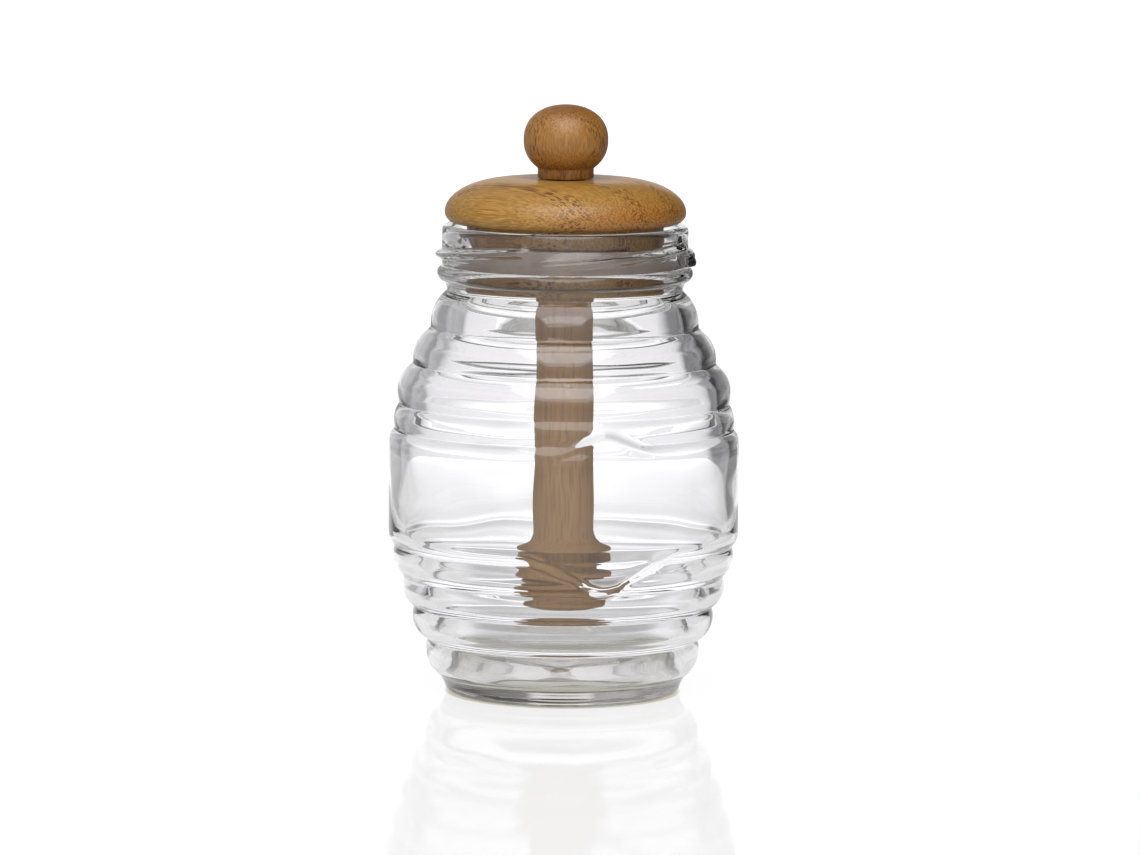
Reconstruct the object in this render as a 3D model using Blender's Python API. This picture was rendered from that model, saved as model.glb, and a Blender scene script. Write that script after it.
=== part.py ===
"""Ribbed glass honey jar with a bamboo lid, its silicone seal, its knob and a dipper.

All the pieces are turned about one upright axis, so each is a profile spun
round Z. The jar's outside is then pushed out where the label panel and the
lid threads stand proud. Profiles are (radius, height) pairs in millimetres,
with the jar's resting ring at height 0, and -Y is the front.
"""
import math

import bmesh
import bpy
from mathutils import Matrix

MM = 0.001
CLEARANCE = 0.3

# Sides of the turned pieces
JAR_SIDES = 48
LID_SIDES = 40
STICK_SIDES = 20

# Jar body
JAR_HEIGHT = 126.0
WALL = 2.8
RING_WALL = 3.0
GROOVE_WALL = 2.1
BAND_RADIUS = 47.0
BAND_CORNER = 5.0
FOOT_RADIUS = 29.4
HEEL_RADIUS = 2.35
PUNT_RADIUS = 24.0
PUNT_HEIGHT = 1.2
FLOOR_HEIGHT = 6.0
FLOOR_DOME = 0.6
FLOOR_CORNER = 9.0

# Grooves between the honeycomb rings, each (radius, height), and the swell of each ring
LOWER_GROOVES = ((33.0, 4.6), (36.2, 14.4), (39.9, 23.4), (42.9, 31.7), (45.3, 39.8))
LOWER_SWELLS = (1.8, 2.0, 1.8, 1.3)
UPPER_GROOVES = ((45.4, 71.4), (44.2, 78.1), (40.6, 88.8), (35.9, 98.3), (31.6, 108.3))
UPPER_SWELLS = (0.8, 2.0, 1.6, 1.45)
RING_STEPS = 5

# Hexagonal label panel, flush with the band and gabled above and below it
PANEL_AZIMUTH = math.radians(13.35)
PANEL_TOP = 78.3
PANEL_FOOT = 31.3
PANEL_SLOPE = math.radians(25.0)
PANEL_EDGE = 3.0

# Neck
NECK_RADIUS = 33.0
BORE_RADIUS = 30.0
BEAD_RADIUS = 34.3
BEAD_HEIGHT = 113.0
BEAD_HALF = 2.2
BEAD_ROOT = 0.6
SHOULDER_HEIGHT = 112.0

# Lid threads, four short lugs that rise to the right, and one stop bump
LUG_COUNT = 4
LUG_RADIUS = 34.8
LUG_START = math.radians(-17.0)
LUG_SWEEP = math.radians(92.0)
LUG_LOW = 117.2
LUG_HIGH = 121.0
LUG_HALF = 1.45
LUG_TAPER = 0.08
STOP_RADIUS = 35.3
STOP_AZIMUTH = math.radians(83.0)
STOP_SPREAD = math.radians(6.0)
STOP_HEIGHT = 116.3
STOP_HALF = 2.4
THREAD_BOTTOM = 115.2
THREAD_TOP = 122.8
THREAD_ROWS = 12

# Bamboo lid with the plug that drops into the jar's mouth
LID_TOP = 138.1
LID_FLAT = 15.5
LID_RADIUS = 32.3
LID_WIDEST = 129.2
LID_UNDER = JAR_HEIGHT + 0.4
LID_LIP = 3.0
PLUG_RADIUS = 26.3
PLUG_BOTTOM = 109.2
PLUG_CHAMFER = 0.6

# Silicone seal in a shallow groove round the plug
SEAL_BOTTOM = 113.6
SEAL_TOP = 121.3
SEAL_RADIUS = BORE_RADIUS - CLEARANCE
SEAL_INNER = 25.8
SEAL_ROUND = 0.8

# Knob, a slightly flattened ball on a short neck, with a tenon glued into the lid
KNOB_RADIUS = 11.35
KNOB_CENTRE = 148.55
KNOB_HALF = 9.45
KNOB_POWER = 2.2
KNOB_NECK = 7.5
KNOB_FOOT_ANGLE = -51
KNOB_STEPS = 12
TENON_RADIUS = 5.0
TENON_BOTTOM = 128.3

# Dipper, a stick glued into the plug with three discs at its foot
STICK_TOP = 124.0
STICK_TOP_RADIUS = 7.5
STICK_WAIST = 50.0
STICK_WAIST_RADIUS = 8.05
DIPPER_BOTTOM = 21.0
DIPPER_END_RADIUS = 6.9
FLARE_TOP = 44.0
FLARE_POWER = 2.4
FLARE_STEPS = 6

# The dipper's discs, each (radius, bottom, top), and the grooves between them
TOP_DISC = (12.9, 34.0, 36.3)
MIDDLE_DISC = (13.1, 27.0, 30.6)
BOTTOM_DISC = (11.5, 23.4, 25.2)
DISC_GROOVE = 9.1
DISC_EDGE = 0.7

# Colours, linear
GLASS_COLOUR = (0.90, 0.93, 0.92)
LID_COLOUR = (0.371, 0.195, 0.058)
KNOB_COLOUR = (0.330, 0.170, 0.060)
STICK_COLOUR = (0.390, 0.240, 0.110)
SEAL_COLOUR = (0.480, 0.460, 0.440)


def arc_points(start, end, swell, steps):
    """Points after start on a circular arc up to end that swells outwards."""
    run_r = end[0] - start[0]
    run_z = end[1] - start[1]
    chord = math.hypot(run_r, run_z)
    along = (run_r / chord, run_z / chord)
    outward = (along[1], -along[0])
    radius = (chord * chord / 4 + swell * swell) / (2 * swell)
    half_angle = math.asin(chord / 2 / radius)
    centre_r = (start[0] + end[0]) / 2 + outward[0] * (swell - radius)
    centre_z = (start[1] + end[1]) / 2 + outward[1] * (swell - radius)
    points = []
    for step in range(1, steps + 1):
        angle = half_angle * (2 * step / steps - 1)
        forward = radius * math.sin(angle)
        lift = radius * math.cos(angle)
        points.append((centre_r + along[0] * forward + outward[0] * lift,
                       centre_z + along[1] * forward + outward[1] * lift))
    return points


def quarter(centre, radii, from_degrees, to_degrees, steps):
    """Points of an elliptical arc, both ends included."""
    points = []
    for step in range(steps + 1):
        angle = math.radians(from_degrees + (to_degrees - from_degrees) * step / steps)
        points.append((centre[0] + radii[0] * math.cos(angle),
                       centre[1] + radii[1] * math.sin(angle)))
    return points


def ring_stack(grooves, swells):
    """The rings between a run of grooves, from the lowest groove up."""
    points = [grooves[0]]
    for below, above, swell in zip(grooves, grooves[1:], swells):
        points += arc_points(below, above, swell, RING_STEPS)
    return points


def band_corner_drop(groove_radius):
    """Height between a groove and the straight part of the band beside it."""
    reach = groove_radius - (BAND_RADIUS - BAND_CORNER)
    return math.sqrt(BAND_CORNER ** 2 - reach ** 2)


def band_points():
    """The plain band between the two stacks of rings, its rounded corners included."""
    corner = BAND_RADIUS - BAND_CORNER
    low_r, low_z = LOWER_GROOVES[-1]
    high_r, high_z = UPPER_GROOVES[0]
    low_centre = low_z + band_corner_drop(low_r)
    high_centre = high_z - band_corner_drop(high_r)
    round_off = (BAND_CORNER, BAND_CORNER)
    low_angle = -math.degrees(math.acos((low_r - corner) / BAND_CORNER))
    high_angle = math.degrees(math.acos((high_r - corner) / BAND_CORNER))
    low = quarter((corner, low_centre), round_off, low_angle, 0, 3)[1:]
    high = quarter((corner, high_centre), round_off, 0, high_angle, 3)[:-1]
    return low + high


def outer_profile():
    """The jar's outside, from the resting ring to the start of the rim."""
    heel_centre = (FOOT_RADIUS, HEEL_RADIUS)
    points = [(PUNT_RADIUS, 0.0)]
    points += quarter(heel_centre, (HEEL_RADIUS, HEEL_RADIUS), -90, 0, 3)
    points += ring_stack(LOWER_GROOVES, LOWER_SWELLS)
    points += band_points()
    points += ring_stack(UPPER_GROOVES, UPPER_SWELLS)
    root = UPPER_GROOVES[-1][0] + BEAD_ROOT
    bead = (BEAD_RADIUS - root, BEAD_HALF)
    points += quarter((root, BEAD_HEIGHT), bead, -90, 90, 6)[:-1]
    for row in range(THREAD_ROWS + 1):
        height = THREAD_BOTTOM + (THREAD_TOP - THREAD_BOTTOM) * row / THREAD_ROWS
        points.append((NECK_RADIUS, height))
    return points


def outer_radius(height):
    """The outside's radius at a height, read along the profile."""
    points = outer_profile()
    for (low_r, low_z), (high_r, high_z) in zip(points, points[1:]):
        if low_z <= height <= high_z and high_z > low_z:
            return low_r + (high_r - low_r) * (height - low_z) / (high_z - low_z)
    return NECK_RADIUS


def inside(point, wall):
    """The inner face's point level with a point of the outside."""
    return (point[0] - wall, point[1])


def inner_ring_stack(grooves, swells):
    """The soft waves inside a run of rings, from the lowest groove up."""
    points = [inside(grooves[0], GROOVE_WALL)]
    for below, above, swell in zip(grooves, grooves[1:], swells):
        crest = arc_points(below, above, swell, 2)[0]
        points += [inside(crest, RING_WALL), inside(above, GROOVE_WALL)]
    return points


def inner_profile():
    """The jar's inside, from the mouth down to the middle of the floor."""
    band = [point for point in band_points() if point[0] > BAND_RADIUS - 0.01]
    upward = inner_ring_stack(LOWER_GROOVES[1:], LOWER_SWELLS[1:])
    upward += [inside(point, WALL) for point in band]
    upward += inner_ring_stack(UPPER_GROOVES, UPPER_SWELLS)
    points = [(BORE_RADIUS, SHOULDER_HEIGHT)] + upward[::-1]
    low_r, low_z = points[-1]
    corner = (FLOOR_CORNER, low_z - FLOOR_HEIGHT)
    points += quarter((low_r - FLOOR_CORNER, low_z), corner, 0, -90, 4)[1:]
    points.append((0.0, FLOOR_HEIGHT + FLOOR_DOME))
    return points


def panel_radius(azimuth, height):
    """The label panel's radius at a place on the jar, or 0 outside the panel."""
    turn = math.remainder(azimuth - PANEL_AZIMUTH, math.tau)
    across = abs(BAND_RADIUS * turn) * math.sin(PANEL_SLOPE)
    from_top = (PANEL_TOP - height) * math.cos(PANEL_SLOPE) - across
    from_foot = (height - PANEL_FOOT) * math.cos(PANEL_SLOPE) - across
    depth = min(from_top, from_foot)
    if depth <= 0:
        return 0.0
    short = PANEL_EDGE - min(depth, PANEL_EDGE)
    return BAND_RADIUS - PANEL_EDGE + math.sqrt(PANEL_EDGE ** 2 - short ** 2)


def half_round(offset, half_width):
    """Height, from 0 to 1, of a half-round rib at an offset from its middle."""
    return math.sqrt(max(0.0, 1 - (offset / half_width) ** 2))


def thread_radius(azimuth, height):
    """The radius of the thread lugs and the stop bump at a place on the neck."""
    radius = NECK_RADIUS
    for lug in range(LUG_COUNT):
        turn = (azimuth - LUG_START - lug * math.tau / LUG_COUNT) % math.tau
        part = turn / LUG_SWEEP
        if part > 1:
            continue
        middle = LUG_LOW + (LUG_HIGH - LUG_LOW) * part
        taper = min(1.0, part / LUG_TAPER, (1 - part) / LUG_TAPER)
        rise = (LUG_RADIUS - NECK_RADIUS) * taper * half_round(height - middle, LUG_HALF)
        radius = max(radius, NECK_RADIUS + rise)
    turn = math.remainder(azimuth - STOP_AZIMUTH, math.tau)
    bump = half_round(turn, STOP_SPREAD) * half_round(height - STOP_HEIGHT, STOP_HALF)
    return max(radius, NECK_RADIUS + (STOP_RADIUS - NECK_RADIUS) * bump)


def surface(name, colour, roughness, transmission=0.0, ior=1.5):
    """A material with one shader, in the piece's own colour."""
    material = bpy.data.materials.new(name)
    material.use_nodes = True
    shader = material.node_tree.nodes["Principled BSDF"]
    shader.inputs["Base Color"].default_value = (*colour, 1.0)
    shader.inputs["Roughness"].default_value = roughness
    shader.inputs["Metallic"].default_value = 0.0
    shader.inputs["Transmission Weight"].default_value = transmission
    shader.inputs["IOR"].default_value = ior
    material.diffuse_color = (*colour, 1.0)
    return material


def turned(name, profile, sides, material, closed=False, push=None):
    """Spin a profile round Z into a solid, and let push set outside radii if given."""
    mesh = bpy.data.meshes.new(name)
    model = bmesh.new()
    verts = [model.verts.new((r * MM, 0.0, z * MM)) for r, z in profile]
    edges = [model.edges.new(pair) for pair in zip(verts, verts[1:])]
    if closed:
        edges.append(model.edges.new((verts[-1], verts[0])))
    bmesh.ops.spin(model, geom=verts + edges, cent=(0, 0, 0), axis=(0, 0, 1),
                   angle=math.tau, space=Matrix.Identity(4), steps=sides, use_merge=True)
    bmesh.ops.remove_doubles(model, verts=model.verts, dist=0.00001)
    if push:
        for vert in model.verts:
            push(vert)
    bmesh.ops.recalc_face_normals(model, faces=model.faces)
    model.to_mesh(mesh)
    model.free()
    mesh.materials.append(material)
    mesh.shade_smooth()
    mesh.set_sharp_from_angle(angle=math.radians(35))
    piece = bpy.data.objects.new(name, mesh)
    bpy.context.scene.collection.objects.link(piece)
    return piece


def push_jar_surface(vert):
    """Move a vertex of the jar's outside out to the panel, a lug or the stop bump."""
    radius = math.hypot(vert.co.x, vert.co.y) / MM
    height = vert.co.z / MM
    if radius < outer_radius(height) - WALL / 2:
        return
    azimuth = math.atan2(vert.co.x, -vert.co.y)
    wanted = radius
    if PANEL_FOOT < height < PANEL_TOP:
        wanted = max(radius, panel_radius(azimuth, height))
    elif THREAD_BOTTOM < height < THREAD_TOP:
        wanted = max(radius, thread_radius(azimuth, height))
    vert.co.x *= wanted / radius
    vert.co.y *= wanted / radius


def make_jar():
    """The glass jar, open at the mouth."""
    glass = surface("clear_glass", GLASS_COLOUR, 0.03, transmission=1.0, ior=1.52)
    half_rim = (NECK_RADIUS - BORE_RADIUS) / 2
    rim_centre = (BORE_RADIUS + half_rim, JAR_HEIGHT - half_rim)
    profile = [(0.0, PUNT_HEIGHT), (PUNT_RADIUS * 0.6, PUNT_HEIGHT * 0.75)]
    profile += outer_profile()
    profile += quarter(rim_centre, (half_rim, half_rim), 0, 180, 6)
    profile += inner_profile()
    return turned("jar", profile, JAR_SIDES, glass, push=push_jar_surface)


def make_lid():
    """The bamboo lid and its plug, bored from above for the knob and below for the stick."""
    bamboo = surface("lacquered_bamboo", LID_COLOUR, 0.38)
    hole = TENON_RADIUS + CLEARANCE
    socket = STICK_TOP_RADIUS + CLEARANCE
    lip_centre = (LID_RADIUS - LID_LIP, LID_WIDEST)
    profile = [(0.0, TENON_BOTTOM - CLEARANCE), (hole, TENON_BOTTOM - CLEARANCE)]
    profile += [(hole, LID_TOP)]
    shoulder = (LID_RADIUS - LID_FLAT, LID_TOP - LID_WIDEST)
    profile += quarter((LID_FLAT, LID_WIDEST), shoulder, 90, 0, 7)
    profile += quarter(lip_centre, (LID_LIP, LID_WIDEST - LID_UNDER), 0, -90, 4)[1:]
    profile += [(PLUG_RADIUS, LID_UNDER), (PLUG_RADIUS, SEAL_TOP + CLEARANCE)]
    profile += [(SEAL_INNER - CLEARANCE, SEAL_TOP + CLEARANCE)]
    profile += [(SEAL_INNER - CLEARANCE, SEAL_BOTTOM - CLEARANCE)]
    profile += [(PLUG_RADIUS, SEAL_BOTTOM - CLEARANCE)]
    profile += [(PLUG_RADIUS, PLUG_BOTTOM + PLUG_CHAMFER), (PLUG_RADIUS - PLUG_CHAMFER, PLUG_BOTTOM)]
    profile += [(socket, PLUG_BOTTOM), (socket, STICK_TOP + CLEARANCE)]
    profile += [(0.0, STICK_TOP + CLEARANCE)]
    return turned("lid", profile, LID_SIDES, bamboo)


def make_seal():
    """The silicone ring round the plug."""
    silicone = surface("grey_silicone", SEAL_COLOUR, 0.5)
    edge = SEAL_RADIUS - SEAL_ROUND
    profile = [(SEAL_INNER, SEAL_BOTTOM)]
    profile += quarter((edge, SEAL_BOTTOM + SEAL_ROUND), (SEAL_ROUND, SEAL_ROUND), -90, 0, 2)
    profile += quarter((edge, SEAL_TOP - SEAL_ROUND), (SEAL_ROUND, SEAL_ROUND), 0, 90, 2)
    profile += [(SEAL_INNER, SEAL_TOP)]
    return turned("lid_seal", profile, LID_SIDES, silicone, closed=True)


def ball_point(angle_degrees):
    """A point of the knob's ball, with -90 at its foot and 90 at its crown."""
    angle = math.radians(angle_degrees)
    cosine = max(0.0, math.cos(angle)) ** (2 / KNOB_POWER)
    sine = math.copysign(abs(math.sin(angle)) ** (2 / KNOB_POWER), angle)
    return (KNOB_RADIUS * cosine, KNOB_CENTRE + KNOB_HALF * sine)


def make_knob():
    """The knob, its neck and the tenon that goes down into the lid."""
    bamboo = surface("knob_bamboo", KNOB_COLOUR, 0.42)
    seat = LID_TOP + CLEARANCE
    profile = [(0.0, TENON_BOTTOM), (TENON_RADIUS, TENON_BOTTOM), (TENON_RADIUS, seat)]
    profile += [(KNOB_NECK, seat)]
    profile += [(KNOB_NECK, ball_point(KNOB_FOOT_ANGLE)[1])]
    for step in range(1, KNOB_STEPS):
        profile.append(ball_point(KNOB_FOOT_ANGLE + (90 - KNOB_FOOT_ANGLE) * step / KNOB_STEPS))
    profile += [(0.0, KNOB_CENTRE + KNOB_HALF)]
    return turned("lid_knob", profile, STICK_SIDES, bamboo)


def disc_foot(disc):
    """The underside of one of the dipper's discs, from its groove to its rim."""
    radius, bottom, top = disc
    return [(DISC_GROOVE, bottom - DISC_EDGE), (radius - DISC_EDGE, bottom),
            (radius, bottom + DISC_EDGE)]


def disc_top(disc):
    """The upper side of one of the dipper's discs, from its rim to its groove."""
    radius, bottom, top = disc
    return [(radius, top - DISC_EDGE), (radius - DISC_EDGE, top), (DISC_GROOVE, top + DISC_EDGE)]


def make_dipper():
    """The dipper: discs at the foot, a flare above them and a plain stick up to the plug."""
    bamboo = surface("dipper_bamboo", STICK_COLOUR, 0.55)
    radius, bottom, top = TOP_DISC
    profile = [(0.0, DIPPER_BOTTOM), (DIPPER_END_RADIUS, DIPPER_BOTTOM)]
    profile += disc_foot(BOTTOM_DISC)[1:] + disc_top(BOTTOM_DISC)
    profile += disc_foot(MIDDLE_DISC) + disc_top(MIDDLE_DISC)
    profile += disc_foot(TOP_DISC)
    for step in range(FLARE_STEPS + 1):
        part = step / FLARE_STEPS
        flare = (radius - STICK_WAIST_RADIUS) * (1 - part) ** FLARE_POWER
        profile.append((STICK_WAIST_RADIUS + flare, top + (FLARE_TOP - top) * part))
    profile += [(STICK_WAIST_RADIUS, STICK_WAIST), (STICK_TOP_RADIUS, PLUG_BOTTOM)]
    profile += [(STICK_TOP_RADIUS, STICK_TOP), (0.0, STICK_TOP)]
    return turned("dipper", profile, STICK_SIDES, bamboo)


def main():
    for thing in list(bpy.data.objects):
        bpy.data.objects.remove(thing, do_unlink=True)
    make_jar()
    make_lid()
    make_seal()
    make_knob()
    make_dipper()


main()
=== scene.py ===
import math

import bpy
import numpy as np
from mathutils import Euler, Matrix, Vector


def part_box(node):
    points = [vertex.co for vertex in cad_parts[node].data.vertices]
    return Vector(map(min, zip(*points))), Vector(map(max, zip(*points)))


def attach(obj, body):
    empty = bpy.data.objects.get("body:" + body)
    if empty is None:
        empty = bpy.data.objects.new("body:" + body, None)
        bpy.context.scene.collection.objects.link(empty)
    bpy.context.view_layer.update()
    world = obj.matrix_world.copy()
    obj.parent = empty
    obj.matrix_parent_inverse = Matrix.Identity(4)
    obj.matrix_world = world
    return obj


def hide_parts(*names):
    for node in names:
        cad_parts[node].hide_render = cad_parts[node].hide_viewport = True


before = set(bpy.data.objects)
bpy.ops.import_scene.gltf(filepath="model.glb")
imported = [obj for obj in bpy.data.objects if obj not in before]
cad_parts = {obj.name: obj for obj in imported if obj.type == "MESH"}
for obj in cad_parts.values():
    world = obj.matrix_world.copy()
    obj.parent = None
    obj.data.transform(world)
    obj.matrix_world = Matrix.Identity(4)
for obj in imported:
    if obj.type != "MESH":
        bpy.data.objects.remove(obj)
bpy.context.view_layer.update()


# Glass jar
# Clear soda-lime glass, blown in one piece in a mould that gives the outside its rings, its
# plain band, its label panel and its screw neck. The inside follows them only softly, and the
# thick floor stands on a rounded foot.

# Sizes are in millimetres, as heights above the base and radii from the axis.
MM = 0.001
RIM_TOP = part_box("jar")[1][2] / MM
JAR_SIDES = 280
CROWDING = 0.45         # how much closer the sides stand at the label panel's fine edges

# The outside: grooves as (radius, height), and how far the ring between each two swells out.
BAND_RADIUS = 47.0
BAND_CORNER = 5.0
FOOT_RADIUS = 29.4
HEEL_RADIUS = 2.35
PUNT_RADIUS = 24.0
PUNT_HEIGHT = 1.2
PUNT_SLOPE = (0.6, 0.75)
LOWER_GROOVES = ((33.0, 4.6), (36.2, 14.4), (39.9, 23.4), (42.9, 31.7), (45.3, 39.8))
LOWER_SWELLS = (1.8, 2.0, 1.8, 1.3)
UPPER_GROOVES = ((45.4, 71.4), (44.2, 78.1), (40.6, 88.8), (35.9, 98.3), (31.6, 108.3))
UPPER_SWELLS = (0.8, 2.0, 1.6, 1.45)
MOULD_ROUNDING = 0.30
OUTSIDE_BEND = 9.0

# The inside: the wall as (height, thickness), read from how the rings bend what is behind them,
# and a few faint waves of chance height and place.
WALL_THICKNESS = ((0.0, 3.0), (15.0, 2.6), (24.0, 2.6), (32.0, 3.6), (40.0, 3.3), (50.0, 3.0),
                  (60.0, 3.0), (76.0, 3.4), (90.0, 4.0), (104.0, 4.2), (112.0, 3.2))
USUAL_WALL = 2.8
INNER_SOFTNESS = 1.2
INNER_BEND = 10.0
INNER_STEP = 2.2
INNER_WAVE = 0.035
WAVES_ROUND = (2, 3, 5, 7, 9, 12)
WAVE_PITCH = (14, 40)
WAVE_SEED = 4
FLOOR_HEIGHT = 5.2
FLOOR_DOME = 0.6
FLOOR_CORNER = 5.0
FLOOR_CLEAR = 2.0
SHOULDER_CLEAR = 2.0
LEVEL_STEP = 0.25

# The label panel: a hexagon that stands out to the band's radius, a little right of the middle.
PANEL_AZIMUTH = math.radians(13.35)
PANEL_TOP = 77.4
PANEL_FOOT = 30.8
PANEL_SLOPE = math.radians(25.0)
PANEL_EDGE = 3.0
PANEL_EDGE_DROP = 2.2
PANEL_FILLET = 0.7
PANEL_TIP = 1.5
PANEL_MARGIN = 3.0
PANEL_FOLLOW = 0.35     # how much of the panel's step shows on the inside
PANEL_ROWS = ((PANEL_FOOT - 1, 46.0, 0.5), (65.0, PANEL_TOP + 1, 0.5))

# The neck: a bead under four thread lugs, each climbing to the right, and one stop bump.
NECK_RADIUS = 33.0
BORE_RADIUS = 30.0
BORE_FOOT = 100.0
BORE_DRAFT = 0.4
BEAD_RADIUS = 34.3
BEAD_HEIGHT = 113.0
BEAD_HALF = 2.2
BEAD_ROOT = 0.6
SHOULDER_HEIGHT = 112.0
LUG_COUNT = 4
LUG_RADIUS = 34.8
LUG_START = math.radians(-17.0)
LUG_SWEEP = math.radians(92.0)
LUG_LOW = 117.2
LUG_HIGH = 121.0
LUG_HALF = 1.45
LUG_TAPER = 0.08
LUG_FULLNESS = 0.8
STOP_RADIUS = 35.3
STOP_AZIMUTH = math.radians(83.0)
STOP_SPREAD = math.radians(6.0)
STOP_HEIGHT = 116.3
STOP_HALF = 2.4
STOP_FULLNESS = 0.7
THREAD_ROWS = (BEAD_HEIGHT + BEAD_HALF, RIM_TOP - USUAL_WALL / 2, 0.3)


def swell_arc(start, end, swell, steps=30):
    """Points after start on a circular arc up to end that swells outwards."""
    run = np.subtract(end, start)
    chord = math.hypot(*run)
    along = run / chord
    outward = np.array((along[1], -along[0]))
    radius = (chord * chord / 4 + swell * swell) / (2 * swell)
    centre = np.add(start, end) / 2 + outward * (swell - radius)
    angles = math.asin(chord / 2 / radius) * np.linspace(-1, 1, steps + 1)[1:, None]
    return centre + along * radius * np.sin(angles) + outward * radius * np.cos(angles)


def bend(centre, radii, from_degrees, to_degrees, steps=24):
    """Points of an elliptical arc, both ends included."""
    angles = np.radians(np.linspace(from_degrees, to_degrees, steps + 1))
    return np.stack((centre[0] + radii[0] * np.cos(angles),
                     centre[1] + radii[1] * np.sin(angles)), axis=1)


def soften(points, rounding, spacing=0.1):
    """The outline with its corners rounded, in short even steps."""
    points = np.asarray(points, dtype=float)
    lengths = np.hypot(*np.diff(points, axis=0).T)
    places = np.concatenate(((0.0,), np.cumsum(lengths)))
    even = np.linspace(0, places[-1], int(places[-1] / spacing) + 1)
    outline = np.stack([np.interp(even, places, points[:, k]) for k in (0, 1)], axis=1)
    reach = int(4 * rounding / spacing) + 1
    weights = np.exp(-0.5 * (np.arange(-reach, reach + 1) * spacing / rounding) ** 2)
    padded = np.pad(outline, ((reach, reach), (0, 0)), mode="edge")
    smooth = [np.convolve(padded[:, k], weights / weights.sum(), "valid") for k in (0, 1)]
    smooth = np.stack(smooth, axis=1)
    smooth[0], smooth[-1] = outline[0], outline[-1]
    return smooth


def thin_out(points, turn_degrees=8.0, longest=1.8, fine=()):
    """The outline with fewer points where it runs straight, apart from the fine heights."""
    steps = np.diff(points, axis=0)
    headings = np.unwrap(np.arctan2(steps[:, 1], steps[:, 0]))
    lengths = np.hypot(*steps.T)
    kept = [0]
    turned = travelled = 0.0
    for index in range(1, len(points) - 1):
        turned += abs(headings[index] - headings[index - 1])
        travelled += lengths[index - 1]
        limits = [step for low, high, step in fine if low < points[index, 1] < high]
        if turned > math.radians(turn_degrees) or travelled > min(limits, default=longest):
            kept.append(index)
            turned = travelled = 0.0
    return points[kept + [len(points) - 1]]


def put(tree, kind, sockets=None, **settings):
    """Add a node with its settings, and its sockets' values or links."""
    node = tree.nodes.new(kind)
    for name, value in settings.items():
        setattr(node, name, value)
    for socket, value in (sockets or {}).items():
        if isinstance(value, bpy.types.NodeSocket):
            tree.links.new(value, node.inputs[socket])
        else:
            node.inputs[socket].default_value = value
    return node


def tone(code):
    """An sRGB hex colour as linear RGBA."""
    parts = [int(code[at:at + 2], 16) / 255 for at in (1, 3, 5)]
    linear = [part / 12.92 if part <= 0.04045 else ((part + 0.055) / 1.055) ** 2.4
              for part in parts]
    return (*linear, 1.0)


def new_finish(name, **values):
    """A material, its tree and its shader, with constant values on the shader's sockets."""
    material = bpy.data.materials.new(name)
    material.use_nodes = True
    shader = material.node_tree.nodes["Principled BSDF"]
    for socket, value in values.items():
        shader.inputs[socket.replace("_", " ")].default_value = value
    return material, material.node_tree, shader


# One tree turns every piece: it sweeps the piece's outline round a circle, the chuck, and then
# closes the seam and the poles. The outline is given as distances from that circle.
CHUCK_RADIUS = 1.0
SEAM_GAP = 0.000002
lathe = bpy.data.node_groups.new("turned on a lathe", "GeometryNodeTree")
for socket_name, socket_kind, way in (
        ("Outline", "NodeSocketGeometry", "INPUT"), ("Sides", "NodeSocketInt", "INPUT"),
        ("Seam gap", "NodeSocketFloat", "INPUT"), ("Finish", "NodeSocketMaterial", "INPUT"),
        ("Piece", "NodeSocketGeometry", "OUTPUT")):
    lathe.interface.new_socket(socket_name, in_out=way, socket_type=socket_kind)
lathe_in = put(lathe, "NodeGroupInput")
chuck = put(lathe, "GeometryNodeCurvePrimitiveCircle",
            {"Resolution": lathe_in.outputs["Sides"], "Radius": CHUCK_RADIUS})
upright = put(lathe, "GeometryNodeSetCurveNormal", {"Curve": chuck.outputs["Curve"]}, mode="Z_UP")
outline = put(lathe, "GeometryNodeMeshToCurve", {"Mesh": lathe_in.outputs["Outline"]})
swept = put(lathe, "GeometryNodeCurveToMesh",
            {"Curve": upright.outputs["Curve"], "Profile Curve": outline.outputs["Curve"]})
joined = put(lathe, "GeometryNodeMergeByDistance",
             {"Geometry": swept.outputs["Mesh"], "Distance": lathe_in.outputs["Seam gap"]})
rounded = put(lathe, "GeometryNodeSetShadeSmooth", {"Geometry": joined.outputs["Geometry"]})
real = put(lathe, "GeometryNodeRealizeInstances", {"Geometry": rounded.outputs["Geometry"]})
dressed = put(lathe, "GeometryNodeSetMaterial",
              {"Geometry": real.outputs["Geometry"], "Material": lathe_in.outputs["Finish"]})
put(lathe, "NodeGroupOutput", {"Piece": dressed.outputs["Geometry"]})
lathe_sockets = {item.name: item.identifier for item in lathe.interface.items_tree}


def turn(name, points, sides, finish, ring=False):
    """Turn an outline, in millimetres as (radius, height), into a solid round Z."""
    mesh = bpy.data.meshes.new(name)
    flat = [(r * MM - CHUCK_RADIUS, -z * MM, 0.0) for r, z in reversed(points)]
    links = [(at, at + 1) for at in range(len(flat) - 1)]
    if ring:
        links.append((len(flat) - 1, 0))
    mesh.from_pydata(flat, links, [])
    piece = bpy.data.objects.new(name, mesh)
    bpy.context.scene.collection.objects.link(piece)
    turning = piece.modifiers.new("turning", "NODES")
    turning.node_group = lathe
    turning[lathe_sockets["Sides"]] = sides
    turning[lathe_sockets["Seam gap"]] = SEAM_GAP
    turning[lathe_sockets["Finish"]] = finish
    shaped = piece.evaluated_get(bpy.context.evaluated_depsgraph_get())
    solid = bpy.data.meshes.new_from_object(shaped)
    piece.modifiers.remove(turning)
    piece.data = solid
    return piece


def ring_stack(grooves, swells):
    """The rings between a run of grooves, from the lowest groove up."""
    rings = [swell_arc(*pair) for pair in zip(grooves, grooves[1:], swells)]
    return np.vstack([grooves[:1]] + rings)


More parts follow.
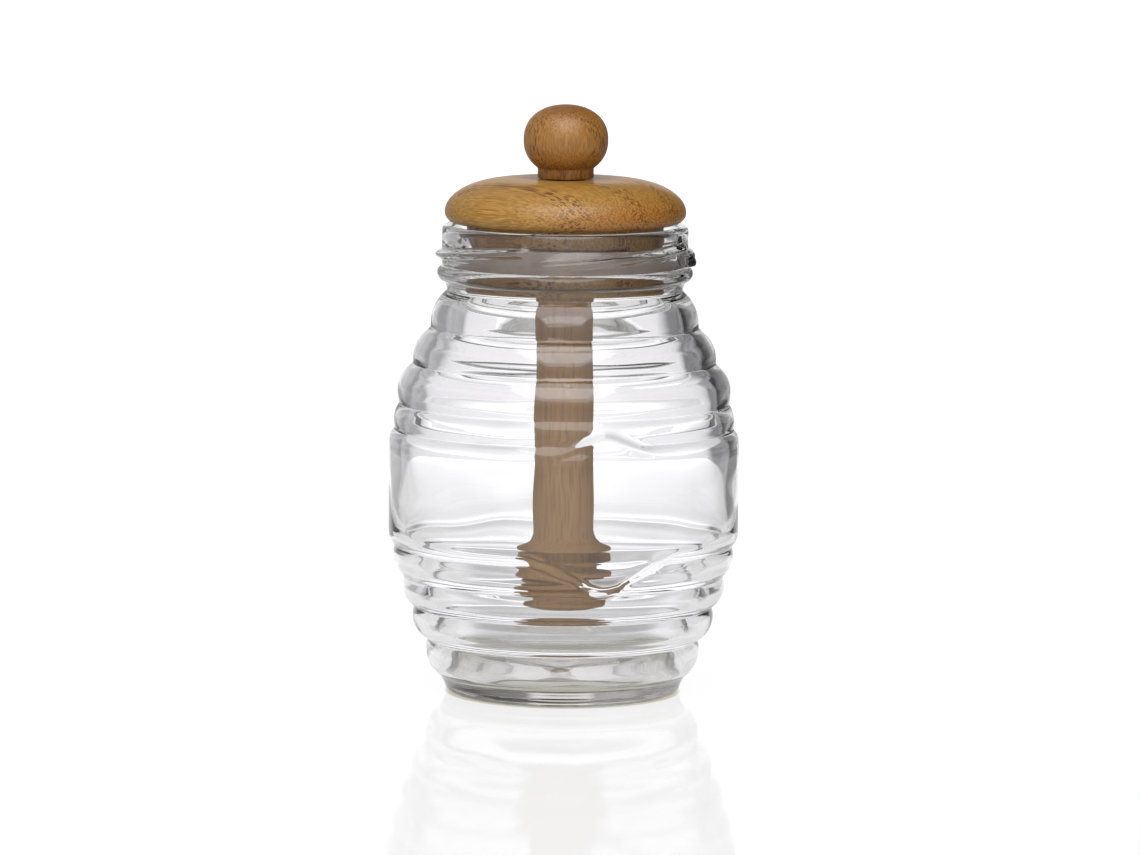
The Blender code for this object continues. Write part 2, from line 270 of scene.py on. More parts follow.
def band_outline():
    """The plain band between the two stacks of rings, its rounded corners included."""
    corner = BAND_RADIUS - BAND_CORNER
    low_lean = math.acos((LOWER_GROOVES[-1][0] - corner) / BAND_CORNER)
    high_lean = math.acos((UPPER_GROOVES[0][0] - corner) / BAND_CORNER)
    low_centre = (corner, LOWER_GROOVES[-1][1] + BAND_CORNER * math.sin(low_lean))
    high_centre = (corner, UPPER_GROOVES[0][1] - BAND_CORNER * math.sin(high_lean))
    radii = (BAND_CORNER, BAND_CORNER)
    return np.vstack((bend(low_centre, radii, -math.degrees(low_lean), 0)[1:],
                      bend(high_centre, radii, 0, math.degrees(high_lean))[:-1]))


def mouth_and_rim():
    """The straight wall of the neck, the rounded rim and the start of the bore."""
    half_rim = (NECK_RADIUS - BORE_RADIUS) / 2
    rim = bend((BORE_RADIUS + half_rim, RIM_TOP - half_rim), (half_rim, half_rim), 0, 180)
    wall_foot = BEAD_HEIGHT + BEAD_HALF
    return np.vstack(([(NECK_RADIUS, wall_foot)], rim, [(BORE_RADIUS, SHOULDER_HEIGHT)]))


def jar_inside(outer):
    """The inside, a wall's thickness away from the outside, down to the middle of the floor."""
    levels = np.arange(FLOOR_HEIGHT + FLOOR_CORNER, SHOULDER_HEIGHT - SHOULDER_CLEAR, LEVEL_STEP)
    thickness = np.interp(levels, *np.transpose(WALL_THICKNESS))[:, None]
    reach = thickness ** 2 - (levels[:, None] - outer[None, :, 1]) ** 2
    radii = np.where(reach > 0, outer[:, 0] - np.sqrt(np.maximum(reach, 0)), np.inf).min(axis=1)
    radii = np.maximum(radii, np.where(levels > BORE_FOOT, BORE_RADIUS - BORE_DRAFT, 0))
    corner_radii = (FLOOR_CORNER, FLOOR_CORNER)
    corner = bend((radii[0] - FLOOR_CORNER, levels[0]), corner_radii, -90, 0)[:-1]
    wall = np.stack((radii, levels), axis=1)
    upward = np.vstack(([(0, FLOOR_HEIGHT + FLOOR_DOME)], corner, wall))
    return upward[::-1]


def panel_reach(azimuth, height):
    """The radius that the label panel's face and rounded edge give the outside."""
    turned = np.remainder(azimuth - PANEL_AZIMUTH + math.pi, math.tau) - math.pi
    across = np.hypot(BAND_RADIUS * turned * math.sin(PANEL_SLOPE), PANEL_TIP)
    depth = np.minimum(PANEL_TOP - height, height - PANEL_FOOT) * math.cos(PANEL_SLOPE) - across
    short = 1 - np.minimum(depth / PANEL_EDGE, 1)
    return BAND_RADIUS - PANEL_EDGE_DROP * short ** 2


def thread_rise(azimuth, height):
    """How far the thread lugs and the stop bump stand out of the neck."""
    rise = np.zeros_like(azimuth)
    for lug in range(LUG_COUNT):
        part = np.remainder(azimuth - LUG_START - lug * math.tau / LUG_COUNT, math.tau) / LUG_SWEEP
        middle = LUG_LOW + (LUG_HIGH - LUG_LOW) * part
        taper = np.clip(np.minimum(part, 1 - part) / LUG_TAPER, 0, 1)
        taper = taper * taper * (3 - 2 * taper)
        ridge = np.clip(1 - ((height - middle) / LUG_HALF) ** 2, 0, 1) ** LUG_FULLNESS
        rise = np.maximum(rise, (LUG_RADIUS - NECK_RADIUS) * ridge * taper)
    turned = np.remainder(azimuth - STOP_AZIMUTH + math.pi, math.tau) - math.pi
    spread = (turned / STOP_SPREAD) ** 2 + ((height - STOP_HEIGHT) / STOP_HALF) ** 2
    bump = (STOP_RADIUS - NECK_RADIUS) * np.clip(1 - spread, 0, 1) ** STOP_FULLNESS
    return np.maximum(rise, bump)


def inner_waviness(azimuth, height):
    """The faint unevenness of the blown inside, in millimetres."""
    chance = np.random.default_rng(WAVE_SEED)
    wave = np.zeros_like(azimuth)
    for turns in WAVES_ROUND:
        pitch = chance.uniform(*WAVE_PITCH)
        phase_a, phase_b = chance.uniform(0, math.tau, 2)
        wave += np.sin(turns * azimuth + phase_a) * np.sin(math.tau * height / pitch + phase_b)
    return wave * INNER_WAVE


foot = bend((FOOT_RADIUS, HEEL_RADIUS), (HEEL_RADIUS, HEEL_RADIUS), -90, 0)
bead = bend((UPPER_GROOVES[-1][0] + BEAD_ROOT, BEAD_HEIGHT),
            (BEAD_RADIUS - UPPER_GROOVES[-1][0] - BEAD_ROOT, BEAD_HALF), -90, 90)
punt = [(0, PUNT_HEIGHT), (PUNT_RADIUS * PUNT_SLOPE[0], PUNT_HEIGHT * PUNT_SLOPE[1]),
        (PUNT_RADIUS, 0)]
outside = np.vstack((punt, foot, ring_stack(LOWER_GROOVES, LOWER_SWELLS), band_outline(),
                     ring_stack(UPPER_GROOVES, UPPER_SWELLS), bead, mouth_and_rim()))
outside = soften(outside, MOULD_ROUNDING)
inside = soften(jar_inside(outside[outside[:, 1] > LOWER_GROOVES[0][1]]), INNER_SOFTNESS)
rim_at = int(np.argmax(outside[:, 1]))
jar_outline = np.vstack((
    thin_out(outside[:rim_at], OUTSIDE_BEND, fine=(THREAD_ROWS, *PANEL_ROWS)),
    thin_out(outside[rim_at:], OUTSIDE_BEND), thin_out(inside, INNER_BEND, INNER_STEP)))

# Soda-lime glass, blown and fire-polished: a clean, mirror-smooth skin, and a faint olive grey
# that gathers only where the glass is seen through its thickness, along edges and in the foot.
GLASS_TINT = "#bcbcaf"
GLASS_TINT_DENSITY = 12.0
clear_glass, glass_tree, _ = new_finish(
    "clear_soda_lime_glass", Base_Color=tone("#fdfdfe"), Roughness=0.0, IOR=1.52,
    Transmission_Weight=1.0)
glass_body = put(glass_tree, "ShaderNodeVolumeAbsorption",
                 {"Color": tone(GLASS_TINT), "Density": GLASS_TINT_DENSITY})
glass_tree.links.new(glass_body.outputs[0], glass_tree.nodes["Material Output"].inputs["Volume"])
jar = turn("glass_jar", jar_outline, JAR_SIDES, clear_glass)

# The turned blank then gets its panel, its thread and the unevenness of its inside.
spots = np.empty(len(jar.data.vertices) * 3, dtype=np.float32)
jar.data.vertices.foreach_get("co", spots)
spots = spots.reshape(-1, 3).astype(float)
radius = np.hypot(spots[:, 0], spots[:, 1]) / MM
height = spots[:, 2] / MM
azimuth = np.arctan2(spots[:, 0], -spots[:, 1])
azimuth = azimuth - CROWDING * np.sin(azimuth - PANEL_AZIMUTH)
outside_there = np.interp(height, *outside[outside[:, 1].argsort()].T[::-1])
on_outside = radius > outside_there - USUAL_WALL / 2
on_inside = ~on_outside & (height > FLOOR_HEIGHT + FLOOR_CLEAR) & (height < SHOULDER_HEIGHT)
in_panel = (height > PANEL_FOOT - PANEL_MARGIN) & (height < PANEL_TOP + PANEL_MARGIN)
in_thread = (height > THREAD_ROWS[0]) & (height < THREAD_ROWS[1])
reach = panel_reach(azimuth, height)
blended = (radius + reach + np.hypot(radius - reach, PANEL_FILLET)) / 2
blended = np.clip(blended, radius, np.maximum(BAND_RADIUS, radius))
pushed = np.where(on_outside & in_panel, blended, radius)
pushed = np.where(on_outside & in_thread, radius + thread_rise(azimuth, height), pushed)
inner_push = PANEL_FOLLOW * np.clip(reach - outside_there, 0, None) * in_panel
pushed = np.where(on_inside, radius + inner_push + inner_waviness(azimuth, height), pushed)
spots[:, 0] = np.sin(azimuth) * pushed * MM
spots[:, 1] = -np.cos(azimuth) * pushed * MM
jar.data.vertices.foreach_set("co", spots.astype(np.float32).ravel())
jar.data.update()

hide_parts("jar")
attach(jar, "root")


# Honey dipper
# One stick of sanded, unlacquered bamboo, turned on a lathe: a plain handle that thickens
# towards the foot, a flare, and three discs. Its top is glued into the lid's plug.

DIPPER_SIDES = 160
DIPPER_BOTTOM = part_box("dipper")[0][2] / MM
STICK_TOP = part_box("dipper")[1][2] / MM
PLUG_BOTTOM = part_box("lid")[0][2] / MM
STICK_TOP_RADIUS = 7.5
STICK_WAIST = 50.0
STICK_WAIST_RADIUS = 8.05
DIPPER_END_RADIUS = 6.9
FLARE_TOP = 44.0
FLARE_POWER = 2.4
FLARE_STEPS = 24
# Each disc's radius, underside and top.
TOP_DISC = (12.9, 34.0, 36.3)
MIDDLE_DISC = (13.1, 27.0, 30.6)
BOTTOM_DISC = (11.5, 23.4, 25.2)
DISC_GROOVE = 9.1
DISC_EDGE = 0.7
LATHE_ROUNDING = 0.22


def disc_outline(disc, with_foot_groove=True):
    """One disc of the dipper's head, from its lower groove to its upper one."""
    disc_radius, bottom, top = disc
    points = [(DISC_GROOVE, bottom - DISC_EDGE), (disc_radius - DISC_EDGE, bottom),
              (disc_radius, bottom + DISC_EDGE), (disc_radius, top - DISC_EDGE),
              (disc_radius - DISC_EDGE, top), (DISC_GROOVE, top + DISC_EDGE)]
    return points if with_foot_groove else points[1:]


flare_part = np.linspace(0, 1, FLARE_STEPS)
flare_spread = (TOP_DISC[0] - STICK_WAIST_RADIUS) * (1 - flare_part) ** FLARE_POWER
flare_radius = STICK_WAIST_RADIUS + flare_spread
flare = np.stack((flare_radius, TOP_DISC[2] + (FLARE_TOP - TOP_DISC[2]) * flare_part), axis=1)
dipper_outline = np.vstack((
    [(0, DIPPER_BOTTOM), (DIPPER_END_RADIUS, DIPPER_BOTTOM)],
    disc_outline(BOTTOM_DISC, with_foot_groove=False), disc_outline(MIDDLE_DISC),
    disc_outline(TOP_DISC)[:3], flare,
    [(STICK_WAIST_RADIUS, STICK_WAIST), (STICK_TOP_RADIUS, PLUG_BOTTOM),
     (STICK_TOP_RADIUS, STICK_TOP), (0, STICK_TOP)]))


# The bamboo of the dipper, the lid and the knob is glued up from strips about 15 mm wide. Fibre
# bundles lie about 0.7 mm apart in a strip and are darkest on the side of the culm's skin. They
# show as flecks along the grain and as pores across it. A single fibre is 0.02 mm thick, too
# fine to show, so the fibres are drawn 0.28 mm apart.
STRIP_WIDTH = 15 * MM
STRIP_PHASE = 6.07
PORE_PITCH = 0.6 * MM
FIBRE_PITCH = 0.28 * MM
FIBRE_RELIEF = 0.08 * MM
WAVE_REPEAT = math.tau / 20     # a Wave texture's own repeat at scale 1
GRAIN_UPRIGHT = (0.0, math.pi / 2, 0.0)


def bamboo_finish(name, grain_turn, middle, bulge, bundle, contrast, colours, **values):
    """Bamboo: golden pith, with brown fibre bundles and pores along its grain.

    middle is the form's height, bulge is how many times flatter than a ball it is (0 for an
    upright stick), bundle is the length and the spacing of the fibre bundles, and colours are
    the pith's, the end grain's and the bundles'.
    """
    material, tree, shader = new_finish(name, **values)
    pale, brown, dark = map(tone, colours)
    bundle_length, bundle_pitch = bundle
    place = put(tree, "ShaderNodeTexCoord")
    along = put(tree, "ShaderNodeMapping",
                {"Vector": place.outputs["Object"], "Rotation": grain_turn})
    bundle_space = put(tree, "ShaderNodeMapping",
                       {"Vector": along.outputs["Vector"],
                        "Scale": (1 / bundle_length, 1 / bundle_pitch, 1 / bundle_pitch)})
    bundles = put(tree, "ShaderNodeTexVoronoi",
                  {"Vector": bundle_space.outputs["Vector"], "Scale": 1.0})
    pore_space = put(tree, "ShaderNodeMapping",
                     {"Vector": along.outputs["Vector"],
                      "Scale": (2 / bundle_length, 1 / PORE_PITCH, 1 / PORE_PITCH)})
    pores = put(tree, "ShaderNodeTexVoronoi",
                {"Vector": pore_space.outputs["Vector"], "Scale": 1.0})
    strips = put(tree, "ShaderNodeTexWave",
                 {"Vector": along.outputs["Vector"], "Scale": WAVE_REPEAT / STRIP_WIDTH,
                  "Phase Offset": STRIP_PHASE, "Distortion": 1.6, "Detail": 1.0,
                  "Detail Scale": 3.0},
                 bands_direction="Y")
    fibre_space = put(tree, "ShaderNodeMapping",
                      {"Vector": along.outputs["Vector"],
                       "Scale": (1 / bundle_length, 1 / FIBRE_PITCH, 1 / FIBRE_PITCH)})
    fibres = put(tree, "ShaderNodeTexNoise",
                 {"Vector": fibre_space.outputs["Vector"], "Scale": 1.0, "Detail": 3.0})
    # A turned form faces roughly away from its middle, so that way tells the end grain.
    away = put(tree, "ShaderNodeMapping",
               {"Vector": place.outputs["Object"], "Location": (0.0, 0.0, -middle * bulge),
                "Scale": (1.0, 1.0, bulge)})
    outwards = put(tree, "ShaderNodeVectorMath", {0: away.outputs["Vector"]},
                   operation="NORMALIZE")
    with_grain = put(tree, "ShaderNodeVectorMath",
                     {0: outwards.outputs["Vector"], 1: Euler(grain_turn).to_matrix()[0]},
                     operation="DOT_PRODUCT")
    end_grain = put(tree, "ShaderNodeMath", {0: with_grain.outputs["Value"]}, operation="ABSOLUTE")
    dense = put(tree, "ShaderNodeMapRange",
                {"Value": strips.outputs["Fac"], "From Min": 0.55, "From Max": 0.95,
                 "To Min": 0.30 * contrast, "To Max": contrast}, interpolation_type="SMOOTHSTEP")
    bundle_core = put(tree, "ShaderNodeMapRange",
                      {"Value": bundles.outputs["Distance"], "From Min": 0.50, "From Max": 0.30},
                      interpolation_type="SMOOTHSTEP")
    bundle_mask = put(tree, "ShaderNodeMath", {0: bundle_core.outputs[0], 1: dense.outputs[0]},
                      operation="MULTIPLY")
    pore_core = put(tree, "ShaderNodeMapRange",
                    {"Value": pores.outputs["Distance"], "From Min": 0.52, "From Max": 0.24},
                    interpolation_type="SMOOTHSTEP")
    pore_share = put(tree, "ShaderNodeMapRange",
                     {"Value": end_grain.outputs[0], "From Min": 0.2, "From Max": 0.9,
                      "To Min": 0.3 * contrast, "To Max": 0.75 * contrast})
    pore_mask = put(tree, "ShaderNodeMath", {0: pore_core.outputs[0], 1: pore_share.outputs[0]},
                    operation="MULTIPLY")
    fleck = put(tree, "ShaderNodeMath", {0: bundle_mask.outputs[0], 1: pore_mask.outputs[0]},
                operation="MAXIMUM")
    browning = put(tree, "ShaderNodeMapRange",
                   {"Value": end_grain.outputs[0], "From Min": 0.3, "From Max": 1.0},
                   interpolation_type="SMOOTHSTEP")
    ground = put(tree, "ShaderNodeMixRGB", {0: browning.outputs[0], 1: pale, 2: brown})
    fibre_tone = put(tree, "ShaderNodeMapRange",
                     {"Value": fibres.outputs["Fac"], "From Min": 0.3, "From Max": 0.7,
                      "To Min": 1.0 - 0.32 * contrast, "To Max": 1.0 + 0.24 * contrast})
    fibred = put(tree, "ShaderNodeMixRGB",
                 {0: 1.0, 1: ground.outputs[0], 2: fibre_tone.outputs[0]}, blend_type="MULTIPLY")
    coloured = put(tree, "ShaderNodeMixRGB",
                   {0: fleck.outputs[0], 1: fibred.outputs[0], 2: dark})
    tree.links.new(coloured.outputs[0], shader.inputs["Base Color"])
    gloss = put(tree, "ShaderNodeMapRange",
                {"Value": fibres.outputs["Fac"], "From Min": 0.3, "From Max": 0.7,
                 "To Min": values["Roughness"] - 0.05, "To Max": values["Roughness"] + 0.08})
    tree.links.new(gloss.outputs[0], shader.inputs["Roughness"])
    relief = put(tree, "ShaderNodeMath", {0: fibres.outputs["Fac"], 1: fleck.outputs[0]},
                 operation="SUBTRACT")
    bump = put(tree, "ShaderNodeBump",
               {"Height": relief.outputs[0], "Strength": 0.6, "Distance": FIBRE_RELIEF})
    tree.links.new(bump.outputs["Normal"], shader.inputs["Normal"])
    return material


# Bamboo, sanded and left bare: dry and matt, pale, with faint upright fibres and few flecks.
dipper_bamboo = bamboo_finish(
    "sanded_bamboo", GRAIN_UPRIGHT, middle=0.0, bulge=0.0, bundle=(14 * MM, 0.8 * MM),
    contrast=0.38, colours=("#b08750", "#9d7340", "#7e5328"), Roughness=0.6)
dipper_outline = thin_out(soften(dipper_outline, LATHE_ROUNDING))
dipper = turn("honey_dipper", dipper_outline, DIPPER_SIDES, dipper_bamboo)
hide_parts("dipper")
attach(dipper, "root")


# Lid
# Turned from one block of laminated bamboo, grain lying flat, and lacquered satin. The plug
# under it drops into the mouth of the jar, and both its holes are blind.

LID_SIDES = 220
LID_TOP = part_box("lid")[1][2] / MM
LID_FLAT = 15.5
LID_RADIUS = 32.3
LID_WIDEST = 129.2
LID_UNDER = RIM_TOP + 0.4
LID_LIP = 3.0
PLUG_RADIUS = 26.3
PLUG_CHAMFER = 0.6
SEAL_BOTTOM = 113.6
SEAL_TOP = 121.3
SEAL_INNER = 25.8
CLEARANCE = 0.3
TENON_RADIUS = 5.0
TENON_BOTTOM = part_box("lid_knob")[0][2] / MM
LID_GRAIN = math.radians(50)
LID_ROUNDING = 0.15
LID_BULGE = 10.0        # how many times flatter the lid is than a ball

socket_radius = STICK_TOP_RADIUS + CLEARANCE
tenon_hole = TENON_RADIUS + CLEARANCE
groove_radius = SEAL_INNER - CLEARANCE
lid_outline = np.vstack((
    [(0, STICK_TOP + CLEARANCE), (socket_radius, STICK_TOP + CLEARANCE),
     (socket_radius, PLUG_BOTTOM), (PLUG_RADIUS - PLUG_CHAMFER, PLUG_BOTTOM),
     (PLUG_RADIUS, PLUG_BOTTOM + PLUG_CHAMFER), (PLUG_RADIUS, SEAL_BOTTOM - CLEARANCE),
     (groove_radius, SEAL_BOTTOM - CLEARANCE), (groove_radius, SEAL_TOP + CLEARANCE),
     (PLUG_RADIUS, SEAL_TOP + CLEARANCE), (PLUG_RADIUS, LID_UNDER)],
    bend((LID_RADIUS - LID_LIP, LID_WIDEST), (LID_LIP, LID_WIDEST - LID_UNDER), -90, 0)[:-1],
    bend((LID_FLAT, LID_WIDEST), (LID_RADIUS - LID_FLAT, LID_TOP - LID_WIDEST), 0, 90),
    [(tenon_hole, LID_TOP), (tenon_hole, TENON_BOTTOM - CLEARANCE),
     (0, TENON_BOTTOM - CLEARANCE)]))

# Laminated bamboo under satin lacquer: honey gold, with dark bundles in bands where a strip's
# skin side lies, streaks along the flat grain and pores at its ends, and a soft broad sheen.
lid_bamboo = bamboo_finish(
    "lacquered_bamboo", (0.0, 0.0, math.pi / 2 - LID_GRAIN), middle=LID_WIDEST * MM,
    bulge=LID_BULGE, bundle=(14 * MM, 0.7 * MM), contrast=1.1,
    colours=("#b4873b", "#b0772f", "#74410d"),
    Roughness=0.45, Coat_Weight=0.22, Coat_Roughness=0.16)
lid_outline = thin_out(soften(lid_outline, LID_ROUNDING))
lid = turn("bamboo_lid", lid_outline, LID_SIDES, lid_bamboo)
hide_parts("lid")
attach(lid, "root")


# Seal
# A soft ring of milky grey silicone, moulded in one piece. It is stretched into the groove round
# the plug, and it fills the gap between the plug and the neck.

SEAL_ROUND = 0.8
SEAL_CLOUD = 6 * MM
seal_radius = BORE_RADIUS - CLEARANCE
seal_edge = seal_radius - SEAL_ROUND
seal_outline = np.vstack((
    [(SEAL_INNER, SEAL_BOTTOM)],
    bend((seal_edge, SEAL_BOTTOM + SEAL_ROUND), (SEAL_ROUND, SEAL_ROUND), -90, 0, 8),
    bend((seal_edge, SEAL_TOP - SEAL_ROUND), (SEAL_ROUND, SEAL_ROUND), 0, 90, 8),
    [(SEAL_INNER, SEAL_TOP)]))

# Silicone rubber, moulded: milky, slightly cloudy over some 6 mm, with a dull waxy skin.
silicone, silicone_tree, silicone_shader = new_finish("milky_silicone", Roughness=0.5)
seal_place = put(silicone_tree, "ShaderNodeTexCoord")
seal_clouds = put(silicone_tree, "ShaderNodeTexNoise",
                  {"Vector": seal_place.outputs["Object"], "Scale": 1 / SEAL_CLOUD, "Detail": 3.0})
seal_blend = put(silicone_tree, "ShaderNodeMapRange",
                 {"Value": seal_clouds.outputs["Fac"], "From Min": 0.35, "From Max": 0.65})
seal_colour = put(silicone_tree, "ShaderNodeMixRGB",
                  {0: seal_blend.outputs[0], 1: tone("#a69585"), 2: tone("#b2a193")})
silicone_tree.links.new(seal_colour.outputs[0], silicone_shader.inputs["Base Color"])
seal_gloss = put(silicone_tree, "ShaderNodeMapRange",
                 {"Value": seal_clouds.outputs["Fac"], "To Min": 0.42, "To Max": 0.58})
silicone_tree.links.new(seal_gloss.outputs[0], silicone_shader.inputs["Roughness"])
seal = turn("silicone_seal", seal_outline, LID_SIDES, silicone, ring=True)
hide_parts("lid_seal")
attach(seal, "root")


# Knob
# A ball of lacquered bamboo with its grain upright, slightly flattened, on a short neck. Its
# tenon is glued down into the top of the lid.

KNOB_RADIUS = 11.35
KNOB_CENTRE = 148.55
KNOB_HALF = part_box("lid_knob")[1][2] / MM - KNOB_CENTRE
KNOB_POWER = 2.2
KNOB_NECK = 7.5
KNOB_FOOT_ANGLE = -51
KNOB_STEPS = 90
KNOB_ROUNDING = 0.12
knob_angles = np.radians(np.linspace(KNOB_FOOT_ANGLE, 90, KNOB_STEPS))
knob_radii = KNOB_RADIUS * np.clip(np.cos(knob_angles), 0, 1) ** (2 / KNOB_POWER)
knob_rise = np.sign(knob_angles) * np.abs(np.sin(knob_angles)) ** (2 / KNOB_POWER)
knob_ball = np.stack((knob_radii, KNOB_CENTRE + KNOB_HALF * knob_rise), axis=1)
knob_outline = np.vstack((
    [(0, TENON_BOTTOM), (TENON_RADIUS, TENON_BOTTOM), (TENON_RADIUS, LID_TOP + CLEARANCE),
     (KNOB_NECK, LID_TOP + CLEARANCE), (KNOB_NECK, knob_ball[0, 1])], knob_ball[1:-1],
    [(0, KNOB_CENTRE + KNOB_HALF)]))

# The same bamboo with its grain upright, lacquered: short upright flecks round its middle, fine
# pores on its brown crown, and a softer sheen than the lid's.
knob_bamboo = bamboo_finish(
    "lacquered_upright_bamboo", GRAIN_UPRIGHT, middle=KNOB_CENTRE * MM, bulge=1.0,
    bundle=(4.5 * MM, 0.6 * MM), contrast=0.85, colours=("#ad7b39", "#976228", "#673b0e"),
    Roughness=0.42, Coat_Weight=0.2, Coat_Roughness=0.3)
knob_outline = thin_out(soften(knob_outline, KNOB_ROUNDING))
knob = turn("lid_knob_ball", knob_outline, DIPPER_SIDES, knob_bamboo)
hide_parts("lid_knob")
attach(knob, "root")


# Floor
# A glossy sheet of frosted acrylic that glows as if lit from below, and mirrors the jar faintly.
# Its glow is painted light: brightest along a strip that runs back behind the jar, and painted
# dimmer near the jar, at the sides and in front. A painted shadow lies behind the jar, and painted
# shade lies under its foot.

# Sizes are in metres here, and each glow is a radiance, where 1 shows as white.
FLOOR_HALF = 8.0
# The glow near the jar is painted a little dimmer than further out: painted shade round the jar.
FLOOR_GLOW = 0.805
FLOOR_GLOW_NEAR_PAINTED_SHADE = 0.785
GLOW_STEP = (0.08, 0.20)        # how far from the jar's axis the near glow becomes the far one
# The glow inside the painted shadow, a darker wedge painted behind the jar.
GLOW_IN_PAINTED_SHADOW = 0.47
# Under the foot the glow is painted dimmer and a little yellow: painted shade.
GLOW_UNDER_FOOT_PAINTED_SHADE = 0.66
PAINTED_FOOT_SHADE_TINT = "#fffae7"
FOOT_TOUCH = 0.0310
FOOT_SOFTNESS = 0.001
SHADOW_START = 0.0325           # the shadow's half width at the jar
SHADOW_SPREAD = 0.075           # how much it widens in each metre
SHADOW_CORE = 0.7
SHADOW_FADE = (0.02, 0.26)
LIT_HALF_WIDTH = 0.152          # the glowing strip's half width at the jar
LIT_SPREAD = 0.082
LIT_EDGE = 0.05
GLOW_OUTSIDE_LEFT = 0.30
GLOW_OUTSIDE_RIGHT = 0.16
OUTSIDE_BLEND = 0.10
GLOW_OUTSIDE_FRONT = 0.45
FRONT_BLEND = (0.05, -0.10)

floor_mesh = bpy.data.meshes.new("floor")
floor_mesh.from_pydata([(-FLOOR_HALF, -FLOOR_HALF, 0), (FLOOR_HALF, -FLOOR_HALF, 0),
                        (FLOOR_HALF, FLOOR_HALF, 0), (-FLOOR_HALF, FLOOR_HALF, 0)],
                       [], [(0, 1, 2, 3)])

# Acrylic, frosted below and polished above: a white that comes from inside the sheet, under a
# clear skin that mirrors most at a low angle. Its IOR is lower than acrylic's 1.49, because the
# photo's mirror image is that faint.
acrylic, acrylic_tree, acrylic_shader = new_finish(
    "frosted_acrylic_painted_glow", Base_Color=tone("#4b4b4b"), Roughness=0.06, IOR=1.07)
floor_place = put(acrylic_tree, "ShaderNodeTexCoord")
floor_parts = put(acrylic_tree, "ShaderNodeSeparateXYZ", {0: floor_place.outputs["Object"]})
floor_from_jar = put(acrylic_tree, "ShaderNodeVectorMath", {0: floor_place.outputs["Object"]},
                     operation="LENGTH")
floor_side = put(acrylic_tree, "ShaderNodeMath", {0: floor_parts.outputs["X"]},
                 operation="ABSOLUTE")

# The painted shadow: a darker wedge painted into the glow, which starts round under the foot and
# fades away behind the jar.
behind = put(acrylic_tree, "ShaderNodeMath", {0: floor_parts.outputs["Y"], 1: 0.0},
             operation="MAXIMUM")
ahead = put(acrylic_tree, "ShaderNodeMath", {0: floor_parts.outputs["Y"], 1: 0.0},
            operation="MINIMUM")
shadow_width = put(acrylic_tree, "ShaderNodeMath",
                   {0: behind.outputs[0], 1: SHADOW_SPREAD, 2: SHADOW_START},
                   operation="MULTIPLY_ADD")
from_spine = put(acrylic_tree, "ShaderNodeCombineXYZ",
                 {"X": floor_side.outputs[0], "Y": ahead.outputs[0]})
from_spine_length = put(acrylic_tree, "ShaderNodeVectorMath", {0: from_spine.outputs[0]},
                        operation="LENGTH")
across_shadow = put(acrylic_tree, "ShaderNodeMath",
                    {0: from_spine_length.outputs["Value"], 1: shadow_width.outputs[0]},
                    operation="DIVIDE")
shadow_core = put(acrylic_tree, "ShaderNodeMapRange",
                  {"Value": across_shadow.outputs[0], "From Min": 1.0, "From Max": SHADOW_CORE},
                  interpolation_type="SMOOTHSTEP")
shadow_fade = put(acrylic_tree, "ShaderNodeMapRange",
                  {"Value": behind.outputs[0], "From Min": SHADOW_FADE[0],
                   "From Max": SHADOW_FADE[1], "To Min": 1.0, "To Max": 0.0},
                  interpolation_type="SMOOTHSTEP")
painted_shadow = put(acrylic_tree, "ShaderNodeMath", {0: shadow_core.outputs[0], 1: shadow_fade.outputs[0]},
             operation="MULTIPLY")
glow_with_painted_shadow = put(acrylic_tree, "ShaderNodeMapRange",
                    {"Value": painted_shadow.outputs[0], "To Min": FLOOR_GLOW_NEAR_PAINTED_SHADE,
                     "To Max": GLOW_IN_PAINTED_SHADOW})

# Painted shade under the foot: inside the foot's circle the glow is painted dimmer and a little
# yellow.
painted_foot_shade_mask = put(acrylic_tree, "ShaderNodeMapRange",
                 {"Value": floor_from_jar.outputs["Value"], "From Min": FOOT_TOUCH + FOOT_SOFTNESS,
                  "From Max": FOOT_TOUCH}, interpolation_type="SMOOTHSTEP")
painted_foot_shade = put(acrylic_tree, "ShaderNodeMapRange",
                {"Value": painted_foot_shade_mask.outputs[0], "To Min": 1.0, "To Max": GLOW_UNDER_FOOT_PAINTED_SHADE})
glow_near = put(acrylic_tree, "ShaderNodeMath",
                {0: glow_with_painted_shadow.outputs[0], 1: painted_foot_shade.outputs[0]}, operation="MULTIPLY")
# Painted shade round the jar: the glow rises from its dimmer near value to its full value further
# out.
glow_gain = put(acrylic_tree, "ShaderNodeMapRange",
                {"Value": floor_from_jar.outputs["Value"], "From Min": GLOW_STEP[0],
                 "From Max": GLOW_STEP[1], "To Min": 0.0, "To Max": FLOOR_GLOW - FLOOR_GLOW_NEAR_PAINTED_SHADE},
                interpolation_type="SMOOTHSTEP")
glow_lit = put(acrylic_tree, "ShaderNodeMath", {0: glow_near.outputs[0], 1: glow_gain.outputs[0]},
               operation="ADD")

# Outside the glowing strip, a painted pool of light, the sheet's glow is painted dimmer, more so on
# the right, and somewhat brighter towards the front.
lit_width = put(acrylic_tree, "ShaderNodeMath",
                {0: floor_parts.outputs["Y"], 1: -LIT_SPREAD, 2: -LIT_HALF_WIDTH},
                operation="MULTIPLY_ADD")
past_strip = put(acrylic_tree, "ShaderNodeMath",
                 {0: floor_side.outputs[0], 1: lit_width.outputs[0]}, operation="ADD")
outside_strip = put(acrylic_tree, "ShaderNodeMapRange",
                    {"Value": past_strip.outputs[0], "From Min": 0.0, "From Max": LIT_EDGE},
                    interpolation_type="SMOOTHSTEP")
glow_sides = put(acrylic_tree, "ShaderNodeMapRange",
                 {"Value": floor_parts.outputs["X"], "From Min": -OUTSIDE_BLEND,
                  "From Max": OUTSIDE_BLEND, "To Min": GLOW_OUTSIDE_LEFT,
                  "To Max": GLOW_OUTSIDE_RIGHT})
